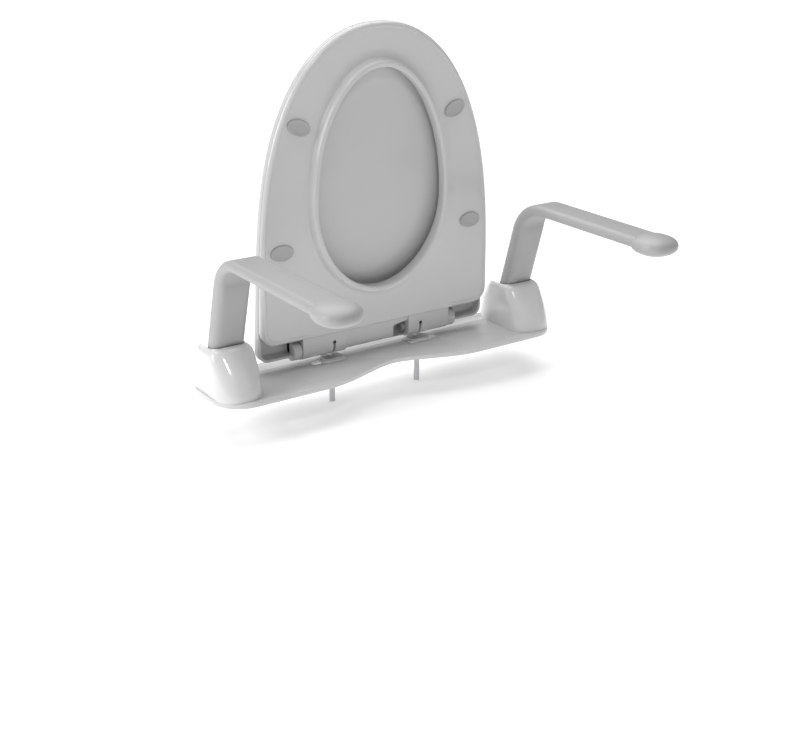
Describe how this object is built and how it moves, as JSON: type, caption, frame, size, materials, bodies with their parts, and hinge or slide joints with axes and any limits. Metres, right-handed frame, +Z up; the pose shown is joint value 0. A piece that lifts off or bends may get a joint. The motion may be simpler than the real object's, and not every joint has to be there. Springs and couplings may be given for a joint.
{
  "type": "toilet safety frame",
  "caption": "Toilet safety frame: plate clamped under the seat hinges, folding armrests in domed sockets, raised seat ring and lid.",
  "frame": {"origin": "midway between the two bowl bolts, on the mounting plate's underside", "axes": "+X across the bowl, -Y towards the bowl's front, +Z up; seat and lid raised, armrests down"},
  "size_m": [0.534, 0.3543, 0.5011],
  "materials": {
    "plate": "gloss white",
    "dome": "gloss white",
    "seat": "gloss white, moulded",
    "lid": "gloss white, moulded",
    "sleeve": "satin grey",
    "knob": "satin light grey",
    "washer": "white",
    "post": "satin stainless",
    "steel": "zinc plated",
    "spring": "spring steel",
    "bush": "natural acetal",
    "damper": "natural acetal",
    "button": "satin grey",
    "buffer": "soft grey",
    "pad": "black"
  },
  "bodies": {
    "frame": {"mounting_plate": "plate", "plate_pads": "pad", "slot_washers": "washer", "dome_left": "dome", "dome_right": "dome", "dome_screws": "steel", "pivot_bracket_left": "steel", "pivot_bracket_right": "steel", "bracket_screws": "steel", "pivot_pin_left": "steel", "pivot_pin_right": "steel", "pivot_circlips": "steel", "stop_pins_left": "steel", "stop_pins_right": "steel", "hinge_post_left": "post", "hinge_post_right": "post", "hinge_pin_left": "steel", "hinge_pin_right": "steel", "bowl_bolt_left": "steel", "bowl_bolt_right": "steel"},
    "arm_left": {"arm_core_left": "steel", "arm_sleeve_left": "sleeve", "pivot_bushes_left": "bush", "end_knob_left": "knob", "sleeve_screw_left": "steel"},
    "arm_right": {"arm_core_right": "steel", "arm_sleeve_right": "sleeve", "pivot_bushes_right": "bush", "end_knob_right": "knob", "sleeve_screw_right": "steel"},
    "seat": {"seat_ring": "seat", "seat_buffers": "buffer", "damper_left": "damper", "damper_right": "damper", "button_spring": "spring"},
    "lid": {"lid": "lid", "lid_buffers": "buffer"},
    "button": {"release_button": "button"}
  },
  "joints": [
    {"name": "seat_hinge", "type": "hinge", "parent": "frame", "child": "seat", "pos_m": [0, 0.005, 0.0281], "axis": [1, 0, 0], "range_deg": [0, 91.3]},
    {"name": "lid_hinge", "type": "hinge", "parent": "seat", "child": "lid", "pos_m": [0, 0.005, 0.0281], "axis": [1, 0, 0], "range_deg": [-91.3, 0]},
    {"name": "arm_left_fold", "type": "hinge", "parent": "frame", "child": "arm_left", "pos_m": [-0.233, -0.00194, 0.026], "axis": [-1, 0, 0], "range_deg": [0, 90]},
    {"name": "arm_right_fold", "type": "hinge", "parent": "frame", "child": "arm_right", "pos_m": [0.233, -0.00194, 0.026], "axis": [-1, 0, 0], "range_deg": [0, 90]},
    {"name": "button_press", "type": "slide", "parent": "seat", "child": "button", "axis": [1, 0, 0], "range_m": [0, 0.003], "stiffness_N_per_m": 600, "springref_m": -0.002, "deforming": ["button_spring"]}
  ]
}
